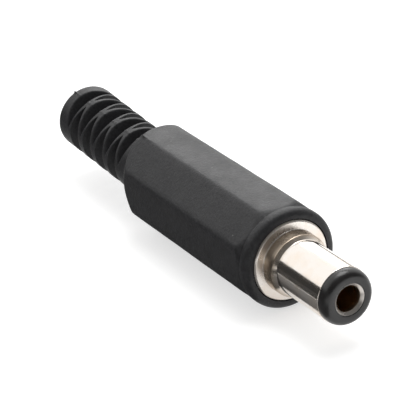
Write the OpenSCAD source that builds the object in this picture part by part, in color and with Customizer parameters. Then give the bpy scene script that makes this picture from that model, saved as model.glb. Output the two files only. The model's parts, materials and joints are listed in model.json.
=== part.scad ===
// Cable-mounted DC barrel plug with a screwed, moulded cover.
// X runs along the plug towards its tip, Z is up, and the origin is the
// centre of the flange's front face, where the plug stops against its jack.

/* [Barrel] */
// Outside diameter of the barrel, the outer contact
barrel_d = 5.5; // [5:0.05:6]
// Length from the flange's front face to the end of the tip
barrel_length = 9.5; // [8:0.1:14]
// Wall of the barrel
barrel_wall = 0.45; // [0.35:0.01:0.6]
// Diameter of the hub at the barrel's root
hub_d = 6.2; // [6:0.05:7]
// Length of the hub's straight part
hub_length = 1.35; // [0.5:0.05:2]
// Length of the hub's cone, down to the barrel
hub_cone = 0.4; // [0.1:0.05:1]

/* [Flange and shank] */
// Diameter of the flange
flange_d = 8; // [7.6:0.05:8.4]
// Thickness of the flange
flange_thickness = 1.2; // [0.8:0.1:2]
// Bevel on the flange's front edge
flange_bevel = 0.15; // [0.05:0.01:0.3]
// Outside diameter of the threaded shank
shank_d = 7; // [6.6:0.05:7.2]
// Length of the threaded shank
shank_length = 5.8; // [4:0.1:9]
// Depth of the runout groove behind the flange
runout_depth = 0.35; // [0.2:0.05:0.5]
// Width of the runout groove
runout_width = 0.8; // [0.5:0.1:1.2]

/* [Tip] */
// Outside diameter of the insulating tip
tip_d = 5.4; // [5:0.05:5.6]
// Length of the tip ahead of the barrel
tip_length = 1.1; // [0.8:0.05:2]
// Width of the flat ring on the tip's front face
tip_face = 0.5; // [0.2:0.05:0.8]
// Length of the tip's straight part
tip_land = 0.25; // [0.1:0.05:0.6]

/* [Centre contact] */
// Outside diameter of the centre contact
contact_d = 3.1; // [2.9:0.05:3.3]
// Bore of the centre contact
contact_bore = 2.5; // [2.1:0.05:2.6]
// Depth of the bore from the end of the tip
contact_depth = 10; // [8:0.1:12]
// Length of the bore's lead-in cone
lead_in = 0.35; // [0.1:0.05:0.5]
// Diameter of the riveted stem
stem_d = 1.6; // [1.2:0.1:2]
// Diameter of the rivet's head
rivet_d = 2.6; // [2:0.1:3]

/* [Tags] */
// Thickness of the sheet that both tags are stamped from
sheet = 0.4; // [0.3:0.05:0.5]
// Thickness of the rear insulating washer
washer_thickness = 0.6; // [0.4:0.1:1]
// Diameter of the spigot that carries the sleeve's tag
spigot_d = 5.2; // [5:0.05:5.4]
// Diameter of the sleeve tag's ring
tag_ring_d = 6.4; // [6.2:0.05:6.5]
// Width of the strap that runs back to the cable clamp
strap_width = 2.2; // [1.8:0.1:2.4]
// Length of the strap between the ring and the cable clamp
strap_length = 8; // [6:0.5:9]
// Length of the cable clamp
clamp_length = 3; // [2:0.5:4]
// Outside diameter of the cable clamp's open ring
clamp_d = 6.3; // [6.2:0.05:6.4]
// Angle that the cable clamp's ears wrap round the cable
clamp_wrap = 230; // [180:10:260]
// Length of the centre tag's tongue
tongue_length = 5.5; // [4:0.5:7]
// Width of the centre tag's tongue
tongue_width = 2; // [1.6:0.1:2.4]
// Outside diameter of the centre tag's ring
centre_ring_d = 4; // [3.6:0.1:4.4]
// Diameter of the solder eye in the centre tag's tongue
eye_d = 1; // [0.6:0.1:1.2]

/* [Cover] */
// Width of the grip across its flats
grip_width = 9.8; // [9.6:0.1:12]
// Diameter that the grip's eight edges are rounded to
grip_edge_d = 10.42; // [10.3:0.02:10.6]
// Length of the grip from its front face to the end of its flats
grip_length = 22.3; // [20:0.1:28]
// Length of the rounded shoulder behind the flats
shoulder_length = 3.8; // [3:0.1:6]
// Diameter of the round collar at the cover's front
collar_d = 9.9; // [9.85:0.05:10.1]
// Length of the collar
collar_length = 1.1; // [0.9:0.1:2]
// Radius of the collar's front edge
collar_round = 0.7; // [0.2:0.05:0.75]
// Length of the chamfer between the collar and the flats
chamfer_length = 0.7; // [0.3:0.1:1.5]
// Depth of the waist between the chamfer and the collar
waist_depth = 0.1; // [0.05:0.05:0.4]
// How far the cover's front face stands behind the flange's face
cover_set_back = 0.1; // [0:0.05:0.3]

/* [Strain relief] */
// Outside diameter of the strain relief
relief_d = 6.6; // [6.2:0.1:7]
// Length of the strain relief behind the shoulder
relief_length = 13.6; // [12:0.1:20]
// Upward set that the soft strain relief has taken, in degrees
relief_bend = 4.5; // [0:0.5:6]
// Distance from the flange's face to the point where the set begins
bend_start = 21.6; // [20:0.1:24]
// Bore for the cable
cable_bore = 4; // [3:0.1:4.4]
// Radius of the strain relief's rear edge
relief_round = 0.7; // [0.2:0.1:1]
// Distance between one pair of V-notches and the next like pair
notch_pitch = 2.62; // [2.2:0.02:3]
// Number of notch pairs in line with the parting plane
notch_rows = 5; // [3:1:6]
// Solid length left behind the last notch
notch_end = 1.3; // [1:0.1:3]
// Width of each notch at the surface
notch_width = 1.6; // [1:0.05:1.8]
// Height of the notches' roots above the axis, in line with the parting plane
root_in_line = 1.65; // [1.2:0.05:1.9]
// Height of the notches' roots above the axis, across the parting plane
root_across = 0.85; // [0.6:0.05:1.9]
// Angle of the parting plane round the axis, from the horizontal
parting_angle = 112.5; // [90:22.5:135]

/* [Fits] */
// Radial clearance between the cover's thread and the shank's
thread_clearance = 0.06; // [0.04:0.01:0.1]
// Radial clearance between the flange and the cover
flange_clearance = 0.08; // [0.05:0.01:0.1]
// Radial clearance round the seated inner parts
seat_clearance = 0.02; // [0.01:0.01:0.04]
// Radial clearance round the tags inside the cover
tag_clearance = 0.25; // [0.15:0.05:0.3]
// Gap between the strap and what it passes: the spigot's lip and the washer
strap_gap = 0.06; // [0.05:0.01:0.1]

/* [Hidden] */
$fn = 96;
over = 0.5;                 // how far cutting tools run past a face

barrel_end = barrel_length - tip_length;
barrel_bore = barrel_d - 2 * barrel_wall;
flange_back = -flange_thickness;
shank_end = flange_back - shank_length;
spigot_end = shank_end - sheet - 0.2;
washer_end = spigot_end - washer_thickness;
tag_end = washer_end - sheet;
strap_inside = clamp_d / 2 - sheet;
washer_d = 2 * (strap_inside - strap_gap);
rivet_height = 0.5;

cover_front = -cover_set_back;
flats_end = -grip_length - cover_set_back;
shoulder_end = flats_end - shoulder_length;
cavity_d = tag_ring_d + 2 * tag_clearance;
strap_end = shank_end - sheet - strap_length;
clamp_end = strap_end - clamp_length;
cavity_end = clamp_end - 0.8;
cavity_cone = 1.4;
relief_r = relief_d / 2;
// distances along the strain relief are measured back from the bend
relief_end = relief_length - bend_start - shoulder_end;
first_notch = relief_end - notch_end - notch_width / 2;

// A solid of revolution about X, from [radius, x] points.
module turned(points) {
    rotate([0, 90, 0]) rotate_extrude() polygon(points);
}

// Points of a quarter ellipse from [r + dr, x] to [r, x + dx].
function quarter(r, x, dr, dx, steps = 8) =
    [for (i = [0 : steps]) [r + dr * cos(90 * i / steps), x + dx * sin(90 * i / steps)]];

function reversed(points) = [for (i = [len(points) - 1 : -1 : 0]) points[i]];

// A cylinder along X from x0 to x1.
module rod(d, x0, x1) {
    translate([x0, 0, 0]) rotate([0, 90, 0]) cylinder(d = d, h = x1 - x0);
}

// Barrel, hub, flange, threaded shank and spigot, turned from one bar.
module sleeve_contact() {
    shank_r = shank_d / 2;
    lip_r = strap_inside - strap_gap;
    color("lightgray") turned([
        [barrel_bore / 2, spigot_end],
        [lip_r, spigot_end],
        [lip_r, shank_end - sheet],
        [spigot_d / 2, shank_end - sheet],
        [spigot_d / 2, shank_end],
        [shank_r - 0.3, shank_end],
        [shank_r, shank_end + 0.3],
        [shank_r, flange_back - runout_width],
        [shank_r - runout_depth, flange_back - runout_width],
        [shank_r - runout_depth, flange_back],
        [flange_d / 2, flange_back],
        [flange_d / 2, -flange_bevel],
        [flange_d / 2 - flange_bevel, 0],
        [hub_d / 2, 0],
        [hub_d / 2, hub_length],
        [barrel_d / 2, hub_length + hub_cone],
        [barrel_d / 2, barrel_end],
        [barrel_bore / 2, barrel_end],
    ]);
}

// Tip and the liner that insulates the centre contact from the barrel.
module tip_insulator() {
    tip_r = tip_d / 2;
    face_r = contact_d / 2 + tip_face;
    liner_r = barrel_bore / 2 - seat_clearance;
    bore_r = contact_d / 2 + seat_clearance;
    shoulder_x = barrel_end + tip_land;
    color("#1c1c1e") turned(concat(
        [[bore_r, spigot_end], [liner_r, spigot_end], [liner_r, barrel_end], [tip_r, barrel_end]],
        quarter(face_r, shoulder_x, tip_r - face_r, barrel_length - shoulder_x),
        [[bore_r, barrel_length]]));
}

// Tube that takes the jack's pin, with a solid tail riveted over its tag.
module centre_contact() {
    contact_r = contact_d / 2;
    bore_r = contact_bore / 2;
    bore_end = barrel_length - contact_depth;
    lip_r = contact_r - 0.05;
    color("silver") turned([
        [0, tag_end - rivet_height],
        [rivet_d / 2 - 0.4, tag_end - rivet_height],
        [rivet_d / 2, tag_end - 0.15],
        [rivet_d / 2, tag_end],
        [stem_d / 2, tag_end],
        [stem_d / 2, spigot_end],
        [contact_r, spigot_end],
        [contact_r, barrel_length - 0.05],
        [lip_r, barrel_length],
        [bore_r, barrel_length - lead_in],
        [bore_r, bore_end],
        [0, bore_end - bore_r / 2],
    ]);
}

// Insulating washer that keeps the centre tag off the shank.
module rear_washer() {
    color("saddlebrown") difference() {
        rod(washer_d, washer_end, spigot_end);
        rod(stem_d + 2 * seat_clearance, washer_end - over, spigot_end + over);
    }
}

// Stamped ring with a solder tongue, for the centre conductor.
module centre_tag() {
    tongue_z = centre_ring_d / 2 - sheet;
    color("gainsboro") difference() {
        union() {
            rod(centre_ring_d, tag_end, washer_end);
            translate([tag_end - tongue_length, -tongue_width / 2, tongue_z])
                cube([tongue_length + sheet, tongue_width, sheet]);
        }
        rod(stem_d + 2 * seat_clearance, tag_end - over, washer_end + over);
        translate([tag_end - tongue_length + eye_d, 0, tongue_z - over])
            cylinder(d = eye_d, h = sheet + 2 * over);
        // the ring's edge is trimmed flush with the outside of the tongue
        translate([tag_end - over, -centre_ring_d / 2, tongue_z + sheet])
            cube([sheet + 2 * over, centre_ring_d, centre_ring_d]);
    }
}

// Stamped ring, strap and open cable clamp, for the outer conductor.
module sleeve_tag() {
    clamp_r = clamp_d / 2;
    strap_z = -clamp_r;
    color("gainsboro") {
        difference() {
            union() {
                rod(tag_ring_d, shank_end - sheet, shank_end);
                translate([strap_end, -strap_width / 2, strap_z])
                    cube([strap_length + sheet, strap_width, sheet]);
            }
            rod(spigot_d + 2 * seat_clearance, shank_end - sheet - over, shank_end + over);
            rod(2 * strap_inside, strap_end - over, strap_end);
        }
        translate([clamp_end, 0, 0]) rotate([0, 90, 0]) rotate([0, 0, -clamp_wrap / 2])
            rotate_extrude(angle = clamp_wrap)
                translate([strap_inside, 0]) square([sheet, clamp_length + over / 2]);
    }
}

// One V-notch across the strain relief: its root lies at height root.
module notch(along, around, root) {
    reach = relief_r + over;
    half = notch_width / 2 * (reach - root) / (relief_r - root);
    rotate([around, 0, 0]) translate([-along, 0, 0])
        linear_extrude(height = relief_d + 2 * over, center = true)
            polygon([[0, root], [half, reach], [-half, reach]]);
}

// Places its children in the strain relief's own direction.
module bent() {
    translate([-bend_start, 0, 0]) rotate([0, relief_bend, 0]) children();
}

// Strain relief: a sleeve with V-notches in pairs, each pair turned a
// quarter from the next, so that it bends every way.
module strain_relief() {
    rear_edge = quarter(relief_r - relief_round, relief_round - relief_end,
                        relief_round, -relief_round);
    bent() difference() {
        turned(concat([[0, 0], [0, -relief_end]], reversed(rear_edge), [[relief_r, 0]]));
        for (i = [0 : notch_rows - 1], side = [0, 180])
            notch(first_notch - i * notch_pitch, parting_angle + side, root_in_line);
        for (i = [0 : notch_rows - 2], side = [90, 270])
            notch(first_notch - (i + 0.5) * notch_pitch, parting_angle + side, root_across);
    }
}

// Octagonal grip with a round collar in front and a shoulder behind.
module grip() {
    edge_r = grip_edge_d / 2;
    collar_r = collar_d / 2;
    waist_r = collar_r - waist_depth;
    collar_back = cover_front - collar_length;
    shoulder = quarter(relief_r, flats_end, edge_r - relief_r, -shoulder_length);
    intersection() {
        rotate([0, 90, 0]) rotate([0, 0, 22.5]) translate([0, 0, shoulder_end])
            cylinder(d = grip_width / cos(22.5), h = collar_back - shoulder_end + over, $fn = 8);
        turned(concat(
            [[0, shoulder_end]], reversed(shoulder),
            [[edge_r, collar_back - chamfer_length], [waist_r, collar_back],
             [waist_r, collar_back + over], [0, collar_back + over]]));
    }
    turned(concat(
        [[0, collar_back], [collar_r, collar_back]],
        quarter(collar_r - collar_round, cover_front - collar_round, collar_round, collar_round),
        [[0, cover_front]]));
}

// Moulded cover: grip and strain relief in one piece, hollow inside.
module cover() {
    counterbore_d = flange_d + 2 * flange_clearance;
    thread_d = shank_d + 2 * thread_clearance;
    color("#2b2b2d") difference() {
        union() {
            grip();
            strain_relief();
        }
        rod(counterbore_d, flange_back - 0.1, over);
        rod(thread_d, shank_end - 1, over);
        rod(cavity_d, cavity_end, over);
        translate([cavity_end - cavity_cone, 0, 0]) rotate([0, 90, 0])
            cylinder(d1 = cable_bore, d2 = cavity_d, h = cavity_cone + 0.001);
        bent() rod(cable_bore, -relief_end - over, 0);
    }
}

cover();
sleeve_contact();
tip_insulator();
centre_contact();
rear_washer();
centre_tag();
sleeve_tag();
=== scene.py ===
"""Dresses the solid model of a cable-mounted DC barrel plug: a moulded cover
with a notched strain relief, and the turned and stamped metal parts in it."""

import json
import math
from types import SimpleNamespace

import bmesh
import bpy
import numpy as np
from bpy.props import FloatProperty, FloatVectorProperty, IntProperty, PointerProperty
from mathutils import Matrix, Vector, noise

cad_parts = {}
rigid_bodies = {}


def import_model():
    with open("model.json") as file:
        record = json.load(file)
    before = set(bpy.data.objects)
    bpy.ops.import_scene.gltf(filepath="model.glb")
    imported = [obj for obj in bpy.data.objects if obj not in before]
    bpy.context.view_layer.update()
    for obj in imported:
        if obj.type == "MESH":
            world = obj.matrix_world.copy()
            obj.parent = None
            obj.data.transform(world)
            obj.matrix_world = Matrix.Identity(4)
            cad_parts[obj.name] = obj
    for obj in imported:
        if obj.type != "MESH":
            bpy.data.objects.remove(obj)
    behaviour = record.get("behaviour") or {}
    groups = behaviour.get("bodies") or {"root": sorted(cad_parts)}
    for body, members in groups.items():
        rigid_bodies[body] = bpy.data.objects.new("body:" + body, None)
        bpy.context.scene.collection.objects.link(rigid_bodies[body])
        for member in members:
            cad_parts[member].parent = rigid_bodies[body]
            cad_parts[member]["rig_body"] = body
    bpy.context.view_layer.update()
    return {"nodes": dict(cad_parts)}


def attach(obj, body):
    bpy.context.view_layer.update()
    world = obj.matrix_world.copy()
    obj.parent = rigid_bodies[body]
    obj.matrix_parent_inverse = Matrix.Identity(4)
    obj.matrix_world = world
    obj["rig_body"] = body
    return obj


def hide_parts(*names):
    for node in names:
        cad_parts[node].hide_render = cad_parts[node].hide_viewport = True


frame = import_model()

bl_info = {
    "name": "Barrel Plug Dresser",
    "version": (1, 0, 0),
    "blender": (4, 5, 0),
    "location": "3D View > Sidebar > Barrel Plug",
    "description": "Builds the moulded cover, the turned contacts and the stage of a DC barrel plug",
    "category": "Object",
}

MM = 0.001
TURN = 2 * math.pi
FAR = 1e3  # a radius in millimetres, beyond anything on the plug


# ---------------------------------------------------------------- sizes

def length(name, description, default_mm):
    """A length property, whose default is given in millimetres."""
    return FloatProperty(name=name, description=description, default=default_mm * MM,
                         min=0.0, unit="LENGTH", subtype="DISTANCE", precision=5)


def angle(name, description, degrees):
    """An angle property, whose default is given in degrees."""
    return FloatProperty(name=name, description=description,
                         default=math.radians(degrees), subtype="ANGLE")


def share(name, description, default):
    return FloatProperty(name=name, description=description, default=default,
                         min=0.0, max=1.0, subtype="FACTOR")


def colour(name, description, default):
    return FloatVectorProperty(name=name, description=description, default=default,
                               min=0.0, max=1.0, size=3, subtype="COLOR")


class PlugCoverSizes(bpy.types.PropertyGroup):
    """Sizes of the moulded cover and its strain relief."""
    width: length("Width across flats", "Width of the octagonal grip across its flats", 9.8)
    front: length("Set back", "How far the front face stands behind the flange's face", 0.1)
    collar: length("Collar radius", "Radius of the round collar", 4.95)
    collar_length: length("Collar length", "Length of the round collar", 1.1)
    collar_round: length("Collar rounding", "Radius of the collar's front edge", 0.7)
    waist: length("Waist depth", "Depth of the waist behind the collar", 0.1)
    chamfer: length("Chamfer length", "Length of the chamfer from the waist to the flats", 0.7)
    edge: length("Edge radius", "Radius of the circle that the chamfer runs out to", 5.21)
    flats_end: length("Flats end", "Distance from the flange's face to the end of the flats", 21.9)
    shoulder: length("Shoulder length", "Length of the rounded shoulder", 3.2)
    slant: angle("Shoulder slant", "Slant of the shoulder's rear edge", 14.0)
    slant_side: angle("Slant side", "Angle round the axis of the side that reaches furthest back", 60.0)
    relief: length("Relief radius", "Radius of the strain relief behind the shoulder", 3.3)
    relief_rear: length("Relief rear radius", "Radius of the strain relief at its rear end", 3.42)
    relief_end: length("Relief end", "Distance from the bend to the rear end", 18.55)
    relief_round: length("Relief rounding", "Radius of the strain relief's rear edge", 0.7)
    bend_start: length("Bend start", "Distance from the flange's face to the bend", 21.6)
    bend: angle("Bend", "Upward set of the strain relief", 3.3)
    pitch: length("Notch pitch", "Distance between one notch pair and the next like pair", 2.62)
    rows: IntProperty(name="Notch rows", default=5, min=1, max=8,
                      description="Number of notch pairs in line with the parting plane")
    first_notch: length("First notch", "Distance from the bend to the last notch", 16.1)
    notch: length("Notch width", "Width of each notch at the surface", 1.6)
    root_in_line: length("Root in line", "Height of the notch roots in line with the parting plane", 1.65)
    root_across: length("Root across", "Height of the notch roots across the parting plane", 0.55)
    parting: angle("Parting angle", "Angle of the parting plane round the axis", 112.5)
    bore: length("Cable bore", "Radius of the cable's bore", 2.0)
    cavity: length("Cavity radius", "Radius of the cavity round the tags", 3.45)
    cavity_end: length("Cavity end", "Distance from the flange's face to the cavity's end", 19.2)
    cavity_cone: length("Cavity cone", "Length of the cone down to the cable's bore", 1.4)
    thread: length("Thread bore", "Radius of the bore that takes the shank's thread", 3.56)
    thread_end: length("Thread end", "Distance from the flange's face to the thread's end", 8.0)
    counterbore: length("Counterbore", "Radius of the recess that takes the flange", 4.08)
    counterbore_end: length("Counterbore depth", "Distance from the flange's face to the recess", 1.3)


class PlugMetalSizes(bpy.types.PropertyGroup):
    """Sizes of the turned contacts and the tip."""
    barrel: length("Barrel radius", "Outside radius of the barrel", 2.75)
    bore: length("Barrel bore", "Inside radius of the barrel", 2.3)
    barrel_end: length("Barrel end", "Distance from the flange's face to the barrel's end", 8.4)
    hub: length("Hub radius", "Radius of the hub at the barrel's root", 3.1)
    hub_length: length("Hub length", "Length of the hub's straight part", 1.35)
    hub_cone: length("Hub cone", "Length of the hub's cone", 0.4)
    flange: length("Flange radius", "Radius of the flange", 4.0)
    flange_back: length("Flange thickness", "Thickness of the flange", 1.2)
    flange_bevel: length("Flange bevel", "Bevel on the flange's front edge", 0.15)
    shank: length("Shank radius", "Radius over the shank's thread", 3.5)
    shank_end: length("Shank end", "Distance from the flange's face to the shank's end", 7.0)
    runout: length("Runout depth", "Depth of the runout groove", 0.35)
    runout_width: length("Runout width", "Width of the runout groove", 0.8)
    thread_pitch: length("Thread pitch", "Pitch of the cover's thread", 0.75)
    thread_depth: length("Thread depth", "Depth of the cover's thread", 0.3)
    sheet: length("Sheet", "Thickness of the tags", 0.4)
    spigot: length("Spigot radius", "Radius of the spigot that carries the sleeve's tag", 2.6)
    lip: length("Lip radius", "Radius of the spigot's riveted lip", 2.69)
    spigot_end: length("Spigot end", "Distance from the flange's face to the spigot's end", 7.6)
    tip: length("Tip radius", "Outside radius of the tip", 2.7)
    tip_end: length("Tip end", "Distance from the flange's face to the end of the tip", 9.5)
    tip_land: length("Tip land", "Length of the tip's straight part", 0.25)
    tip_face: length("Tip face", "Width of the flat ring on the tip's front", 0.5)
    seat: length("Seat clearance", "Clearance round the seated parts", 0.02)
    contact: length("Contact radius", "Outside radius of the centre contact", 1.55)
    contact_bore: length("Contact bore", "Radius of the centre contact's bore", 1.25)
    contact_floor: length("Contact floor", "Distance from the flange's face back to the bore's floor", 0.5)
    lead_in: length("Lead-in", "Length of the bore's lead-in cone", 0.3)
    stem: length("Stem radius", "Radius of the riveted stem", 0.8)
    rivet: length("Rivet radius", "Radius of the rivet's head", 1.3)
    tag_end: length("Tag end", "Distance from the flange's face to the centre tag's rear face", 8.6)
    rivet_height: length("Rivet height", "Height of the rivet's head", 0.5)


class PlugFinish(bpy.types.PropertyGroup):
    """Colours and surface finishes."""
    plastic: colour("Cover plastic", "Colour of the moulded cover", (0.016, 0.016, 0.0175))
    plastic_rough: share("Cover roughness", "Roughness of the cover", 0.48)
    plate_rough: share("Plate roughness", "Roughness of the nickel plate", 0.13)
    tip: colour("Tip plastic", "Colour of the insulating tip", (0.012, 0.011, 0.011))
    tip_rough: share("Tip roughness", "Roughness of the tip", 0.3)
    nickel: colour("Nickel plate", "Colour of the nickel plate", (0.80, 0.755, 0.71))
    brass: colour("Bare brass", "Colour of brass where the plate is thin", (0.72, 0.47, 0.22))
    tin: colour("Tin plate", "Colour of the tinned tags", (0.62, 0.62, 0.60))
    board: colour("Washer board", "Colour of the insulating washer", (0.22, 0.10, 0.045))
    floor: colour("Floor", "Colour of the floor", (0.6, 0.6, 0.6))


class PlugStage(bpy.types.PropertyGroup):
    """Camera, lights and floor."""
    azimuth: angle("Azimuth", "Angle of the camera round the plug, from its tip", 29.367)
    elevation: angle("Elevation", "Angle of the camera above the floor", 25.748)
    roll: angle("Roll", "Angle that the camera is turned about its line of sight", -3.765)
    distance: length("Distance", "Distance from the camera to the point it looks at", 196.0)
    aim: FloatVectorProperty(name="Aim", description="Point that the camera looks at",
                             default=(-0.005543, -0.005208, 0.004721), size=3, subtype="TRANSLATION")
    lens: FloatProperty(name="Lens", description="Focal length of the camera", default=183.76,
                        min=10.0, unit="CAMERA")
    floor_depth: length("Floor depth", "Distance from the plug's axis down to the floor", 4.95)


def in_mm(group):
    """The group's values as plain attributes, with lengths in millimetres."""
    values = {}
    for prop in group.bl_rna.properties:
        if prop.identifier in ("rna_type", "name"):
            continue
        value = getattr(group, prop.identifier)
        values[prop.identifier] = value / MM if prop.unit == "LENGTH" else value
    return SimpleNamespace(**values)


# ---------------------------------------------------------------- meshes

def soft_min(a, b, sharpness):
    """The lower of a and b, rounded off where they cross."""
    low = np.minimum(a, b)
    return low - np.log1p(np.exp(-sharpness * np.abs(a - b))) / sharpness


def smooth_step(t):
    t = min(1.0, max(0.0, t))
    return t * t * (3 - 2 * t)


def rounded(points, radius, steps=4):
    """A profile of (x, r) points with each inner corner turned into a small arc."""
    made = [Vector(points[0])]
    for before, here, after in zip(points, points[1:], points[2:]):
        p, a, b = Vector(here), Vector(before), Vector(after)
        cut = min(radius, 0.4 * (a - p).length, 0.4 * (b - p).length)
        start = p + (a - p).normalized() * cut
        end = p + (b - p).normalized() * cut
        for i in range(steps + 1):
            t = i / steps
            made.append(start * (1 - t) ** 2 + p * 2 * t * (1 - t) + end * t ** 2)
    made.append(Vector(points[-1]))
    return made


def rings_mesh(name, rings, closed):
    """A mesh from rings of points in millimetres. It is closed into a loop of
    rings, or else its ends are capped."""
    rings = np.asarray(rings, float)
    count, around = rings.shape[:2]
    faces = []
    for i in range(count if closed else count - 1):
        a, b = i * around, (i + 1) % count * around
        for j in range(around):
            k = (j + 1) % around
            faces.append((a + j, a + k, b + k, b + j))
    if not closed:
        faces.append(tuple(range(around))[::-1])
        faces.append(tuple((count - 1) * around + j for j in range(around)))
    mesh = bpy.data.meshes.new(name)
    mesh.from_pydata((rings.reshape(-1, 3) * MM).tolist(), [], faces)
    mesh.update()
    piece = bpy.data.objects.new(name, mesh)
    bpy.context.scene.collection.objects.link(piece)
    return piece


def turned(name, profile, segments, closed=True, shape=None):
    """A piece turned about X from (x, r) points in millimetres. shape(x, r, theta)
    may return other radii for a ring, such as a thread's."""
    theta = np.arange(segments) * TURN / segments
    rings = []
    for x, r in profile:
        radii = np.full(segments, r) if shape is None else shape(x, r, theta)
        rings.append(np.stack([np.full(segments, x), radii * np.cos(theta), radii * np.sin(theta)], 1))
    return rings_mesh(name, rings, closed)


def recalculate(piece):
    """Turns the faces outwards."""
    bm = bmesh.new()
    bm.from_mesh(piece.data)
    bmesh.ops.recalc_face_normals(bm, faces=bm.faces)
    bm.to_mesh(piece.data)
    bm.free()


def shade(piece, degrees=35):
    """Smooth shading, with edges sharper than the angle kept crisp."""
    piece.data.shade_smooth()
    bm = bmesh.new()
    bm.from_mesh(piece.data)
    limit = math.radians(degrees)
    for edge in bm.edges:
        if len(edge.link_faces) == 2 and edge.calc_face_angle(0.0) > limit:
            edge.smooth = False
    bm.to_mesh(piece.data)
    bm.free()


def cut_out(piece, tool):
    """Takes the tool's volume out of the piece, and removes the tool."""
    cut = piece.modifiers.new("hollow", "BOOLEAN")
    cut.operation = "DIFFERENCE"
    cut.object = tool
    cut.solver = "MANIFOLD"
    bpy.context.view_layer.update()
    done = piece.evaluated_get(bpy.context.evaluated_depsgraph_get())
    mesh = bpy.data.meshes.new_from_object(done)
    piece.modifiers.clear()
    old = piece.data
    piece.data = mesh
    mesh.name = old.name + ".cut"
    bpy.data.meshes.remove(old)
    tool_mesh = tool.data
    bpy.data.objects.remove(tool)
    bpy.data.meshes.remove(tool_mesh)
    fewest_faces = 100
    if len(piece.data.polygons) < fewest_faces:
        raise RuntimeError("the cover's hollow could not be cut")


def dress(piece, node, material):
    """Puts the piece in place of its CAD node, with its material."""
    piece.data.materials.clear()
    piece.data.materials.append(material)
    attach(piece, frame["nodes"][node]["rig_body"])
    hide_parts(node)


# ------------------------------------------------------------ materials

def new_material(name):
    material = bpy.data.materials.new(name)
    material.use_nodes = True
    tree = material.node_tree
    shader = next(n for n in tree.nodes if n.type == "BSDF_PRINCIPLED")
    return material, tree, shader


def add(tree, kind, values=None, **links):
    """Adds a node, sets its plain inputs and links the others."""
    node = tree.nodes.new(kind)
    for key, value in (values or {}).items():
        if key in node.inputs:
            node.inputs[key].default_value = value
        else:
            setattr(node, key, value)
    for key, socket in links.items():
        tree.links.new(socket, node.inputs[key])
    return node


def place_on_piece(tree):
    return add(tree, "ShaderNodeTexCoord").outputs["Object"]


def along_axis(tree, at):
    return add(tree, "ShaderNodeSeparateXYZ", Vector=at).outputs["X"]


def mottle(tree, at, scale, detail, roughness=0.5):
    """Noise of a scale, as a value from 0 to 1."""
    values = {"Scale": scale, "Detail": detail, "Roughness": roughness}
    return add(tree, "ShaderNodeTexNoise", values, Vector=at).outputs["Fac"]


def cells(tree, at, scale):
    """Distance from the nearest of many scattered points."""
    return add(tree, "ShaderNodeTexVoronoi", {"Scale": scale}, Vector=at).outputs["Distance"]


def spread(tree, socket, low, high, out_low, out_high):
    """Maps a value's range onto another, held at the ends."""
    values = {"From Min": low, "From Max": high, "To Min": out_low, "To Max": out_high}
    return add(tree, "ShaderNodeMapRange", values, Value=socket).outputs["Result"]


def scaled_sum(tree, a, factor, b):
    """a * factor + b. Each is a number or a socket."""
    node = add(tree, "ShaderNodeMath", {"operation": "MULTIPLY_ADD"})
    for socket, value in zip(node.inputs, (a, factor, b)):
        if isinstance(value, bpy.types.NodeSocket):
            tree.links.new(value, socket)
        else:
            socket.default_value = value
    return node.outputs[0]


def mixed(tree, factor, a, b):
    """A colour between a and b; each is a colour or a socket."""
    node = tree.nodes.new("ShaderNodeMix")
    node.data_type = "RGBA"
    tree.links.new(factor, node.inputs["Factor"])
    for key, value in (("A", a), ("B", b)):
        socket = next(s for s in node.inputs if s.name == key and s.type == "RGBA")
        if isinstance(value, bpy.types.NodeSocket):
            tree.links.new(value, socket)
        else:
            socket.default_value = (*value, 1.0)
    return next(s for s in node.outputs if s.type == "RGBA")


def bump(tree, height, strength, distance, under=None):
    """The normal over a height, on top of another bump's normal if one is given."""
    node = add(tree, "ShaderNodeBump", {"Strength": strength, "Distance": distance}, Height=height)
    if under is not None:
        tree.links.new(under, node.inputs["Normal"])
    return node.outputs["Normal"]


def tinted(colour_value, factor):
    return [part * factor for part in colour_value]


def blended(a, share_a, b, share_b):
    return [share_a * p + share_b * q for p, q in zip(a, b)]


def finish(tree, shader, base, rough, normal=None, metallic=0.0):
    """Links a finish's colour, roughness and normal to its shader."""
    tree.links.new(base, shader.inputs["Base Color"])
    tree.links.new(rough, shader.inputs["Roughness"])
    if normal is not None:
        tree.links.new(normal, shader.inputs["Normal"])
    shader.inputs["Metallic"].default_value = metallic


def cover_plastic(f):
    """Black matte moulding: a fine spark-eroded grain, rubbed a little smoother
    in patches, with a few pale specks of dust."""
    material, tree, shader = new_material("cover_plastic")
    at = place_on_piece(tree)
    grain = mottle(tree, at, 4200.0, 4.0, 0.7)
    patches = mottle(tree, at, 420.0, 4.0, 0.6)
    speck = spread(tree, cells(tree, at, 900.0), 0.05, 0.09, 1.0, 0.0)
    dusty = scaled_sum(tree, speck, spread(tree, patches, 0.56, 0.62, 0.0, 0.6), 0.0)
    tone = spread(tree, grain, 0.3, 0.7, 0.0, 1.0)
    base = mixed(tree, tone, tinted(f.plastic, 0.6), tinted(f.plastic, 1.8))
    dust = (0.16, 0.16, 0.155)
    rough = spread(tree, patches, 0.3, 0.7, f.plastic_rough - 0.05, f.plastic_rough + 0.06)
    fine = bump(tree, grain, 0.7, 0.00005)
    pitted = bump(tree, cells(tree, at, 3600.0), 0.25, 0.00003, under=fine)
    finish(tree, shader, mixed(tree, dusty, base, dust), rough, pitted)
    shader.inputs["Specular IOR Level"].default_value = 0.38
    return material


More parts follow.
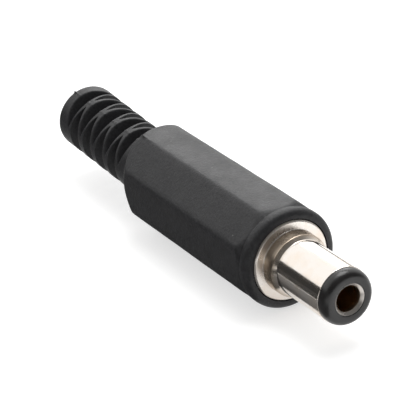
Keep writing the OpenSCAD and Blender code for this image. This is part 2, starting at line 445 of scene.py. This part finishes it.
def tip_plastic(f):
    """Black glossy moulding with faint flow marks."""
    material, tree, shader = new_material("tip_plastic")
    at = place_on_piece(tree)
    flow = mottle(tree, at, 900.0, 4.0, 0.6)
    tone = spread(tree, flow, 0.3, 0.7, 0.0, 1.0)
    base = mixed(tree, tone, tinted(f.tip, 0.85), tinted(f.tip, 1.25))
    rough = spread(tree, flow, 0.3, 0.7, f.tip_rough - 0.05, f.tip_rough + 0.07)
    finish(tree, shader, base, rough, bump(tree, mottle(tree, at, 9000.0, 2.0), 0.12, 0.00002))
    shader.inputs["Specular IOR Level"].default_value = 0.5
    return material


def nickel_plate(f):
    """Nickel plate on turned brass: rings left by the tool, faint tarnish, brass
    showing through in thin places, a hub painted darker and browner, partly a
    brass stain and partly painted shade, and a duller hub and flange."""
    material, tree, shader = new_material("nickel_plate")
    at = place_on_piece(tree)
    x = along_axis(tree, at)
    squeezed = add(tree, "ShaderNodeMapping", {"Scale": (1.0, 0.02, 0.02)}, Vector=at).outputs["Vector"]
    tool_rings = mottle(tree, squeezed, 9000.0, 3.0, 0.7)
    tarnish = mottle(tree, at, 500.0, 5.0, 0.6)
    thin = spread(tree, tarnish, 0.42, 0.72, 0.0, 0.5)
    plate = mixed(tree, thin, f.nickel, blended(f.nickel, 0.55, f.brass, 0.45))
    behind_barrel = spread(tree, x, 0.00135, 0.0019, 1.0, 0.0)
    # the hub, from the flange's face to the barrel's root, is painted darker and browner: partly a brass
    # stain, partly painted shade
    hub = scaled_sum(tree, behind_barrel, spread(tree, x, 0.00003, 0.0002, 0.0, 1.0), 0.0)
    base = mixed(tree, hub, plate, blended(f.nickel, 0.38, f.brass, 0.27))
    polish = spread(tree, tarnish, 0.3, 0.7, f.plate_rough * 0.7, f.plate_rough * 1.4)
    rough = scaled_sum(tree, behind_barrel, 0.15, polish)
    finish(tree, shader, base, rough, bump(tree, tool_rings, 0.06, 0.00001), metallic=1.0)
    return material


def contact_metal(f):
    """The centre contact: nickel outside and at the mouth, bare brass deep in
    the bore, which the plating hardly reaches."""
    material, tree, shader = new_material("contact_metal")
    at = place_on_piece(tree)
    deep = spread(tree, along_axis(tree, at), 0.0093, 0.0086, 0.0, 1.0)
    tarnish = mottle(tree, at, 900.0, 4.0, 0.6)
    bare = mixed(tree, tarnish, f.brass, tinted(f.brass, 0.6))
    rough = spread(tree, tarnish, 0.3, 0.7, 0.24, 0.4)
    finish(tree, shader, mixed(tree, deep, tinted(f.nickel, 0.78), bare), rough, metallic=1.0)
    return material


def tinned_sheet(f):
    """Tin plate on stamped brass, a little cloudy."""
    material, tree, shader = new_material("tinned_sheet")
    cloud = mottle(tree, place_on_piece(tree), 700.0, 5.0, 0.65)
    base = mixed(tree, cloud, f.tin, tinted(f.tin, 0.8))
    rough = spread(tree, cloud, 0.3, 0.7, 0.28, 0.42)
    finish(tree, shader, base, rough, bump(tree, cloud, 0.1, 0.00002), metallic=1.0)
    return material


def washer_board(f):
    """Brown phenolic board, with its paper's fibres."""
    material, tree, shader = new_material("washer_board")
    stretched = add(tree, "ShaderNodeMapping", {"Scale": (8.0, 1.0, 1.0)}, Vector=place_on_piece(tree))
    fibre = mottle(tree, stretched.outputs["Vector"], 1500.0, 4.0)
    base = mixed(tree, fibre, tinted(f.board, 0.7), tinted(f.board, 1.3))
    tree.links.new(base, shader.inputs["Base Color"])
    shader.inputs["Roughness"].default_value = 0.55
    return material


# ---------------------------------------------------------------- cover

# how crisply faces meet: higher is sharper
FLAT_EDGE, RIM_EDGE, NOTCH_EDGE = 7.5, 22.0, 17.0
COVER_SEGMENTS, HOLLOW_SEGMENTS = 176, 120
RELIEF_STEP = 0.062


def octagon_radii(c, theta, rise):
    """Radii of the grip's eight flats, round a centre that stands rise above the axis."""
    radii = np.full(len(theta), FAR)
    least = 0.35
    for k in range(8):
        side = k * TURN / 8
        facing = np.cos(theta - side)
        reach = (c.width / 2 - rise * math.sin(side)) / np.maximum(facing, least)
        radii = soft_min(radii, np.where(facing > least, reach, FAR), FLAT_EDGE)
    return radii


def relief_notches(c):
    """Each notch's distance from the bend, the side it is cut from and the height
    of its root. The pairs across stand midway between the pairs in line."""
    notches = []
    for i in range(c.rows):
        for side in (0, math.pi):
            notches.append((c.first_notch - i * c.pitch, c.parting + side, c.root_in_line))
    for i in range(c.rows - 1):
        for side in (math.pi / 2, -math.pi / 2):
            notches.append((c.first_notch - (i + 0.5) * c.pitch, c.parting + side, c.root_across))
    return notches


def notched_radii(c, theta, s, outside, notches):
    """Radii of the relief at s from the bend, with its V-shaped notches cut in."""
    radii = np.full(len(theta), outside)
    blunt, least = 0.05, 0.12
    for at, side, root in notches:
        away = math.sqrt((s - at) ** 2 + blunt ** 2) - 0.6 * blunt
        height = root + (outside - root) * away / (c.notch / 2)
        facing = np.cos(theta - side)
        cut = np.where(facing > least, height / np.maximum(facing, least), FAR)
        radii = soft_min(radii, cut, NOTCH_EDGE)
    return np.maximum(radii, c.bore - 0.6)


def cover_rings(c, around):
    """Rings for the outside of the cover, from its front face to its rear end."""
    theta = np.arange(around) * TURN / around
    bend_x, shoulder_end = -c.bend_start, -c.flats_end - c.shoulder
    relief_start = (bend_x - shoulder_end) / math.cos(c.bend)
    slant_lead, slant_length, slant_fade = 1.5, 3.5, 2.4
    rings = []

    def place(x, z, lean, radii):
        """One ring round a centre at x and z, leaning back, and slanted near the shoulder."""
        y, up = radii * np.cos(theta), radii * np.sin(theta)
        grown = smooth_step((slant_lead - c.flats_end - x) / slant_length)
        felt = grown * smooth_step(1 + (x - shoulder_end) / slant_fade)
        back = math.tan(c.slant) * felt * radii * np.cos(theta - c.slant_side)
        rings.append(np.stack([x - back + up * math.sin(lean), y, z + up * math.cos(lean)], 1))

    def ring(x, radii):
        """One ring of the grip, which follows the bend behind where that starts."""
        rise, lean = 0.0, 0.0
        if x < bend_x:
            rise = (bend_x - x) * math.tan(c.bend)
            lean = c.bend * smooth_step((bend_x - x) / (bend_x - shoulder_end)) ** 2
        place(x, rise, lean, radii)

    def grip(x, limit):
        """Radii of the grip at x, its corners held within a circle."""
        flats = octagon_radii(c, theta, max(0.0, bend_x - x) * math.tan(c.bend))
        return soft_min(flats, np.full(around, limit), RIM_EDGE)

    def relief_radius(s):
        along = (s - relief_start) / (c.relief_end - relief_start)
        return c.relief + (c.relief_rear - c.relief) * along

    # front face and the collar's rounded front edge
    front, collar_back = -c.front, -c.front - c.collar_length
    for a in np.linspace(math.pi / 2, 0, 9):
        ring(front - c.collar_round * (1 - math.sin(a)),
             np.full(around, c.collar - c.collar_round * (1 - math.cos(a))))
    # the collar's rear edge, and the step down to the waist
    corner, waist = 0.08, c.collar - c.waist
    for a in np.linspace(0, math.pi / 2, 5):
        ring(collar_back + corner * (1 - math.sin(a)),
             np.full(around, c.collar - corner * (1 - math.cos(a))))
    ring(collar_back, np.full(around, waist + 0.001))
    # chamfer
    slope = (c.edge - waist) / c.chamfer
    for i in range(1, 15):
        x = collar_back - c.chamfer * i / 8
        ring(x, grip(x, waist + slope * (collar_back - x)))
    # flats
    flats_from, flats_to = collar_back - c.chamfer * 15 / 8, -c.flats_end + 0.3
    corners = c.edge + 0.15
    steps = 44
    for i in range(steps + 1):
        x = flats_from + (flats_to - flats_from) * i / steps
        ring(x, grip(x, corners + max(0.0, 1 - i / 6) * 0.2))
    # shoulder
    fullness = 1.7
    steps = 30
    for i in range(steps):
        a = math.pi / 2 * i / steps
        x = -c.flats_end - c.shoulder * math.sin(a)
        ring(x, grip(x, c.relief + (corners - c.relief) * math.cos(a) ** fullness))
    ring(shoulder_end, np.full(around, c.relief))
    # strain relief with its notches
    notches = relief_notches(c)
    straight = c.relief_end - c.relief_round
    steps = int((straight - relief_start) / RELIEF_STEP)
    for i in range(1, steps + 1):
        s = relief_start + (straight - relief_start) * i / steps
        place(bend_x - s * math.cos(c.bend), s * math.sin(c.bend), c.bend,
              notched_radii(c, theta, s, relief_radius(s), notches))
    # its rounded rear edge
    for i in range(1, 9):
        a = math.pi / 2 * i / 8
        s = straight + c.relief_round * math.sin(a)
        place(bend_x - s * math.cos(c.bend), s * math.sin(c.bend), c.bend,
              np.full(around, relief_radius(s) - c.relief_round * (1 - math.cos(a))))
    return np.array(rings)


def cover_hollow(c, m, around):
    """Rings for everything that is hollow in the cover: recess, thread, cavity
    and the cable's bore, which runs out of the rear end."""
    theta = np.arange(around) * TURN / around
    rings = []

    def place(x, z, lean, radii):
        y, up = radii * np.cos(theta), radii * np.sin(theta)
        rings.append(np.stack([x + up * math.sin(lean), y, z + up * math.cos(lean)], 1))

    def ring(x, radii):
        """A ring across the straight part of the axis."""
        place(x, 0.0, 0.0, radii)

    def bore_ring(s):
        """A ring of the cable's bore, across the axis behind the bend."""
        place(-c.bend_start - s * math.cos(c.bend), s * math.sin(c.bend), c.bend, c.bore)

    nick, ahead = 0.001, 0.5
    ring(ahead, c.counterbore)
    ring(-c.counterbore_end, c.counterbore)
    ring(-c.counterbore_end - nick, c.thread + 0.2)
    ring(-c.counterbore_end - 0.2, c.thread)
    # the thread's grooves lie outside the bore's radius, so the cover draws off freely
    step = 0.1
    steps = int((c.thread_end - c.counterbore_end - 0.4) / step)
    for i in range(steps + 1):
        x = -c.counterbore_end - 0.25 - i * step
        fade = smooth_step(i / 4) * smooth_step((steps - i) / 4)
        phase = (x / m.thread_pitch + theta / TURN) % 1.0
        groove = np.clip(1 - np.abs(phase - 0.5) / 0.38, 0, 1) * m.thread_depth * 0.8
        ring(x, c.thread + groove * fade)
    ring(-c.thread_end, c.thread)
    ring(-c.thread_end - nick, c.cavity)
    ring(-c.cavity_end, c.cavity)
    ring(-c.cavity_end - c.cavity_cone, c.bore)
    ring(-c.bend_start + 0.02, c.bore)
    bore_ring(0.02)
    bore_ring(c.relief_end + 0.5)
    return np.array(rings)


def flash_height(c, x, away, upper):
    """Height of the flash at x, in millimetres. The upper line has the scruff on
    the shoulder and on the relief's ribs, and the nub at the rear end."""
    height = 0.012 + 0.02 * max(0.0, noise.noise(Vector((x * 2.4, upper, 0.5))))
    if not upper:
        return height
    scruff = noise.noise(Vector((x * 6.5, away * 5.0, 2.5)))
    shoulder, rib_front = -c.flats_end - 1.6, -c.bend_start - 3
    nub = 0.75 - c.bend_start - c.relief_end * math.cos(c.bend)
    height += 0.16 * math.exp(-((x - shoulder) / 1.3) ** 2) * max(0.0, 0.6 + 1.3 * scruff)
    height += 0.2 * math.exp(-((x - nub) / 0.3) ** 2)
    if x < rib_front:
        height += 0.05 * max(0.0, 0.5 + scruff)
    return height


def parting_flash(piece, c):
    """Raises the thin, ragged flash along the parting line, and makes the
    moulding very slightly uneven."""
    side = Vector((0, math.cos(c.parting), math.sin(c.parting)))
    across = Vector((0, -side.z, side.y))
    reach, width = 0.6, 0.09
    for v in piece.data.vertices:
        p = v.co / MM
        rise = max(0.0, -c.bend_start - p.x) * math.tan(c.bend)
        out = Vector((0, p.y, p.z - rise))
        if out.length < c.relief * 0.93:
            continue
        push = noise.noise(p * 0.35) * 0.016 + noise.noise(p * 1.3 + Vector((7, 3, 1))) * 0.008
        away = out.dot(across)
        if abs(away) < reach:
            push += math.exp(-(away / width) ** 2) * flash_height(c, p.x, away, out.dot(side) > 0)
        v.co = v.co + out.normalized() * push * MM
    piece.data.update()


# ------------------------------------------------------------ operators

TURNING_SEGMENTS, CONTACT_SEGMENTS = 144, 112


class BuildOperator:
    """What each build operator shares."""
    bl_options = {"REGISTER", "UNDO"}

    def sizes(self, context):
        scene = context.scene
        return in_mm(scene.plug_cover), in_mm(scene.plug_metal), scene.plug_finish


class PLUG_OT_cover(BuildOperator, bpy.types.Operator):
    """Builds the moulded cover with its strain relief"""
    bl_idname = "plug.cover"
    bl_label = "Cover"

    def execute(self, context):
        c, m, f = self.sizes(context)
        piece = rings_mesh("cover_moulding", cover_rings(c, COVER_SEGMENTS), closed=False)
        recalculate(piece)
        parting_flash(piece, c)
        tool = rings_mesh("hollow_tool", cover_hollow(c, m, HOLLOW_SEGMENTS), closed=False)
        recalculate(tool)
        cut_out(piece, tool)
        shade(piece, 50)
        dress(piece, "cover", cover_plastic(f))
        return {"FINISHED"}


class PLUG_OT_sleeve(BuildOperator, bpy.types.Operator):
    """Builds the outer contact: barrel, hub, flange and threaded shank"""
    bl_idname = "plug.sleeve"
    bl_label = "Sleeve contact"

    def execute(self, context):
        _, m, f = self.sizes(context)
        thread_from, thread_to = -m.flange_back - m.runout_width, -m.shank_end
        entry, groove_side, blend, thread_step = 0.3, 0.15, 0.05, 0.05
        outline = [
            (-m.spigot_end, m.bore), (-m.spigot_end, m.lip), (-m.shank_end - m.sheet, m.lip),
            (-m.shank_end - m.sheet, m.spigot), (-m.shank_end, m.spigot), (-m.shank_end, m.shank - entry),
            (-m.shank_end + entry, m.shank), (thread_from, m.shank),
            (thread_from + groove_side, m.shank - m.runout), (-m.flange_back, m.shank - m.runout),
            (-m.flange_back, m.flange), (-m.flange_bevel, m.flange), (0, m.flange - m.flange_bevel),
            (0, m.hub), (m.hub_length, m.hub), (m.hub_length + m.hub_cone, m.barrel),
            (m.barrel_end, m.barrel), (m.barrel_end, m.bore)]
        profile = [(p.x, p.y) for p in rounded(outline, blend)]
        # rings close together along the thread
        fine = []
        for (x, r), (nx, nr) in zip(profile, profile[1:]):
            fine.append((x, r))
            if abs(r - m.shank) < 1e-3 and abs(nr - m.shank) < 1e-3 and nx - x > 1:
                count = int((nx - x) / thread_step)
                fine += [(x + (nx - x) * i / count, r) for i in range(1, count)]
        fine.append(profile[-1])

        def threaded(x, r, theta):
            """Radii of a ring at x, with the thread's groove cut into the shank."""
            if not (thread_to < x < thread_from + 0.02 and r > m.shank - 0.31):
                return np.full(len(theta), r)
            fade = smooth_step((x - thread_to) / 0.35) * smooth_step((thread_from - x) / 0.3 + 0.2)
            phase = (x / m.thread_pitch + theta / TURN) % 1.0
            groove = np.clip(1.12 - np.abs(phase - 0.5) / 0.42, 0, 1) * m.thread_depth
            return np.minimum(r, m.shank - groove * fade)

        piece = turned("sleeve_turning", fine, TURNING_SEGMENTS, True, threaded)
        recalculate(piece)
        shade(piece, 30)
        dress(piece, "sleeve_contact", nickel_plate(f))
        return {"FINISHED"}


class PLUG_OT_tip(BuildOperator, bpy.types.Operator):
    """Builds the insulating tip and its liner"""
    bl_idname = "plug.tip"
    bl_label = "Tip"

    def execute(self, context):
        _, m, f = self.sizes(context)
        face = m.contact + m.tip_face
        bore, liner = m.contact + m.seat, m.bore - m.seat
        start = m.barrel_end + m.tip_land
        outline = rounded([(-m.spigot_end, bore), (-m.spigot_end, liner), (m.barrel_end, liner),
                           (m.barrel_end, m.tip), (start, m.tip)], 0.06)
        steps = 16
        for i in range(1, steps + 1):
            a = math.pi / 2 * i / steps
            outline.append(Vector((start + (m.tip_end - start) * math.sin(a),
                                   face + (m.tip - face) * math.cos(a))))
        outline += [Vector((m.tip_end, bore + 0.06)), Vector((m.tip_end - 0.02, bore + 0.02)),
                    Vector((m.tip_end - 0.06, bore))]
        piece = turned("tip_moulding", [(p.x, p.y) for p in outline], TURNING_SEGMENTS)
        recalculate(piece)
        shade(piece, 40)
        dress(piece, "tip_insulator", tip_plastic(f))
        return {"FINISHED"}


class PLUG_OT_contact(BuildOperator, bpy.types.Operator):
    """Builds the centre contact with its riveted stem"""
    bl_idname = "plug.contact"
    bl_label = "Centre contact"

    def execute(self, context):
        _, m, f = self.sizes(context)
        outline = rounded([
            (-m.tag_end - m.rivet_height, 0.02), (-m.tag_end - m.rivet_height, m.rivet - 0.4),
            (-m.tag_end - 0.15, m.rivet), (-m.tag_end, m.rivet), (-m.tag_end, m.stem),
            (-m.spigot_end, m.stem), (-m.spigot_end, m.contact), (m.tip_end, m.contact),
            (m.tip_end - m.lead_in, m.contact_bore), (-m.contact_floor, m.contact_bore),
            (-m.contact_floor - m.contact_bore / 2, 0.02)], 0.07, 5)
        piece = turned("contact_turning", [(p.x, p.y) for p in outline], CONTACT_SEGMENTS,
                       closed=False)
        recalculate(piece)
        shade(piece, 35)
        dress(piece, "centre_contact", contact_metal(f))
        return {"FINISHED"}


class PLUG_OT_tags(BuildOperator, bpy.types.Operator):
    """Finishes the two stamped tags and the washer between them"""
    bl_idname = "plug.tags"
    bl_label = "Tags and washer"

    def execute(self, context):
        _, _, f = self.sizes(context)
        tin, board = tinned_sheet(f), washer_board(f)
        for node, material in (("centre_tag", tin), ("sleeve_tag", tin), ("rear_washer", board)):
            piece = frame["nodes"][node]
            piece.data.materials.clear()
            piece.data.materials.append(material)
        return {"FINISHED"}


class PLUG_OT_stage(BuildOperator, bpy.types.Operator):
    """Makes the floor, the soft lights and the camera"""
    bl_idname = "plug.stage"
    bl_label = "Stage"

    def execute(self, context):
        s = in_mm(context.scene.plug_stage)
        self.floor(s, context.scene.plug_finish)
        self.panel("top_panel", (-0.10, 0.12, 0.50), 0.3, 0.3, 1.5)
        self.panel("back_panel", (-0.40, 0.22, 0.21), 0.3, 0.26, 0.48)
        self.sky()
        self.cards(s)
        self.camera(context, s)
        context.scene.view_settings.view_transform = "Standard"
        return {"FINISHED"}

    def floor(self, s, f):
        half, z = 3.0, -s.floor_depth * MM
        points = [(-half, -half, z), (half, -half, z), (half, half, z), (-half, half, z)]
        self.surface("floor", points, [(0, 1, 2, 3)], f.floor, glow=0.62, rough=0.9, specular=0.1)

    def panel(self, name, at, width, depth, power):
        """A soft lamp that looks at the plug."""
        lamp = bpy.data.lights.new(name, "AREA")
        lamp.shape = "RECTANGLE"
        lamp.size, lamp.size_y = width, depth
        lamp.energy = power
        piece = bpy.data.objects.new(name, lamp)
        piece.location = at
        piece.rotation_euler = (-Vector(at)).to_track_quat("-Z", "Y").to_euler()
        bpy.context.scene.collection.objects.link(piece)

    def sky(self):
        """A pale sky, brightest behind the plug and dark near the horizon."""
        world = bpy.data.worlds.new("studio")
        bpy.context.scene.world = world
        world.use_nodes = True
        tree = world.node_tree
        background = next(n for n in tree.nodes if n.type == "BACKGROUND")
        towards = add(tree, "ShaderNodeTexCoord").outputs["Generated"]
        parts = add(tree, "ShaderNodeSeparateXYZ", Vector=towards).outputs
        height = scaled_sum(tree, parts["Y"], 0.118, parts["Z"])
        above = spread(tree, height, 0.172, 0.192, 0.0, 1.0)
        behind = spread(tree, parts["X"], -0.15, 0.25, 1.2, 0.1)
        tree.links.new(scaled_sum(tree, above, behind, 0.05), background.inputs["Strength"])
        background.inputs["Color"].default_value = (1.0, 0.995, 0.985, 1.0)

    def cards(self, s):
        """Dark cards beside the plug that only reflections see, and a pale wall
        round the stage that only the camera sees."""
        z = -s.floor_depth * MM + 0.0002
        ends = (-0.25, 0.02)
        flat = [(x, y, z) for y in (-0.0038, -0.0134) for x in ends]
        # a grey card lying on the floor beside the plug, seen only in reflections: painted shade of the
        # floor that the plug shadows
        self.surface("floor_shade_card", flat, [(0, 1, 3, 2)], (0.16,) * 3, seen_by="reflections")
        bent = [(x, y, h) for y, h in ((-0.014, z), (-0.06, z), (-0.06, 0.026)) for x in ends]
        self.surface("black_card", bent, [(0, 1, 3, 2), (2, 3, 5, 4)], (0.015,) * 3, seen_by="reflections")
        count, radius, foot, top = 48, 0.9, -0.02, 0.9
        angles = [TURN * i / count for i in range(count)]
        wall = [(radius * math.cos(a), radius * math.sin(a), h) for h in (foot, top) for a in angles]
        faces = [(i, (i + 1) % count, count + (i + 1) % count, count + i) for i in range(count)]
        self.surface("pale_wall", wall, faces, (0.9, 0.9, 0.9), glow=0.6, seen_by="camera")

    def surface(self, name, points, faces, tint, glow=0.0, rough=1.0, specular=0.5, seen_by="all"):
        """A plain surface of the stage."""
        mesh = bpy.data.meshes.new(name)
        mesh.from_pydata(points, [], faces)
        piece = bpy.data.objects.new(name, mesh)
        bpy.context.scene.collection.objects.link(piece)
        material, tree, shader = new_material(name)
        shader.inputs["Base Color"].default_value = (*tint, 1.0)
        shader.inputs["Roughness"].default_value = rough
        shader.inputs["Specular IOR Level"].default_value = specular
        shader.inputs["Emission Color"].default_value = (1.0, 1.0, 1.0, 1.0)
        shader.inputs["Emission Strength"].default_value = glow
        mesh.materials.append(material)
        if seen_by != "all":
            piece.visible_camera = seen_by == "camera"
            piece.visible_glossy = seen_by == "reflections"
            piece.visible_diffuse = piece.visible_shadow = False

    def camera(self, context, s):
        view = Vector((math.cos(s.elevation) * math.cos(s.azimuth),
                       -math.cos(s.elevation) * math.sin(s.azimuth), math.sin(s.elevation)))
        right = Vector((0, 0, 1)).cross(view).normalized()
        up = view.cross(right)
        x = right * math.cos(s.roll) + up * math.sin(s.roll)
        y = -right * math.sin(s.roll) + up * math.cos(s.roll)
        data = bpy.data.cameras.new("camera")
        data.lens, data.sensor_width = s.lens, 36.0
        data.clip_start, data.clip_end = 0.01, 10.0
        camera = bpy.data.objects.new("camera", data)
        place = Matrix((x, y, view)).transposed().to_4x4()
        place.translation = (Vector(s.aim) + view * s.distance) * MM
        camera.matrix_world = place
        context.scene.collection.objects.link(camera)
        context.scene.camera = camera


class PLUG_PT_panel(bpy.types.Panel):
    """Lists the plug's pieces and their sizes"""
    bl_idname = "PLUG_PT_panel"
    bl_label = "Barrel Plug"
    bl_space_type = "VIEW_3D"
    bl_region_type = "UI"
    bl_category = "Barrel Plug"

    def draw(self, context):
        layout = self.layout
        for operator in OPERATORS:
            layout.operator(operator.bl_idname)
        for name in GROUPS:
            group = getattr(context.scene, name)
            box = layout.box()
            for prop in group.bl_rna.properties:
                if prop.identifier not in ("rna_type", "name"):
                    box.prop(group, prop.identifier)


GROUPS = {"plug_cover": PlugCoverSizes, "plug_metal": PlugMetalSizes,
          "plug_finish": PlugFinish, "plug_stage": PlugStage}
OPERATORS = (PLUG_OT_cover, PLUG_OT_sleeve, PLUG_OT_tip, PLUG_OT_contact, PLUG_OT_tags, PLUG_OT_stage)


def register():
    for group in GROUPS.values():
        bpy.utils.register_class(group)
    for name, group in GROUPS.items():
        setattr(bpy.types.Scene, name, PointerProperty(type=group))
    for operator in OPERATORS:
        bpy.utils.register_class(operator)
    bpy.utils.register_class(PLUG_PT_panel)


def unregister():
    bpy.utils.unregister_class(PLUG_PT_panel)
    for operator in reversed(OPERATORS):
        bpy.utils.unregister_class(operator)
    for name, group in GROUPS.items():
        delattr(bpy.types.Scene, name)
        bpy.utils.unregister_class(group)


def main():
    register()
    bpy.ops.plug.cover()
    bpy.ops.plug.sleeve()
    bpy.ops.plug.tip()
    bpy.ops.plug.contact()
    bpy.ops.plug.tags()
    bpy.ops.plug.stage()


if __name__ == "__main__":
    main()
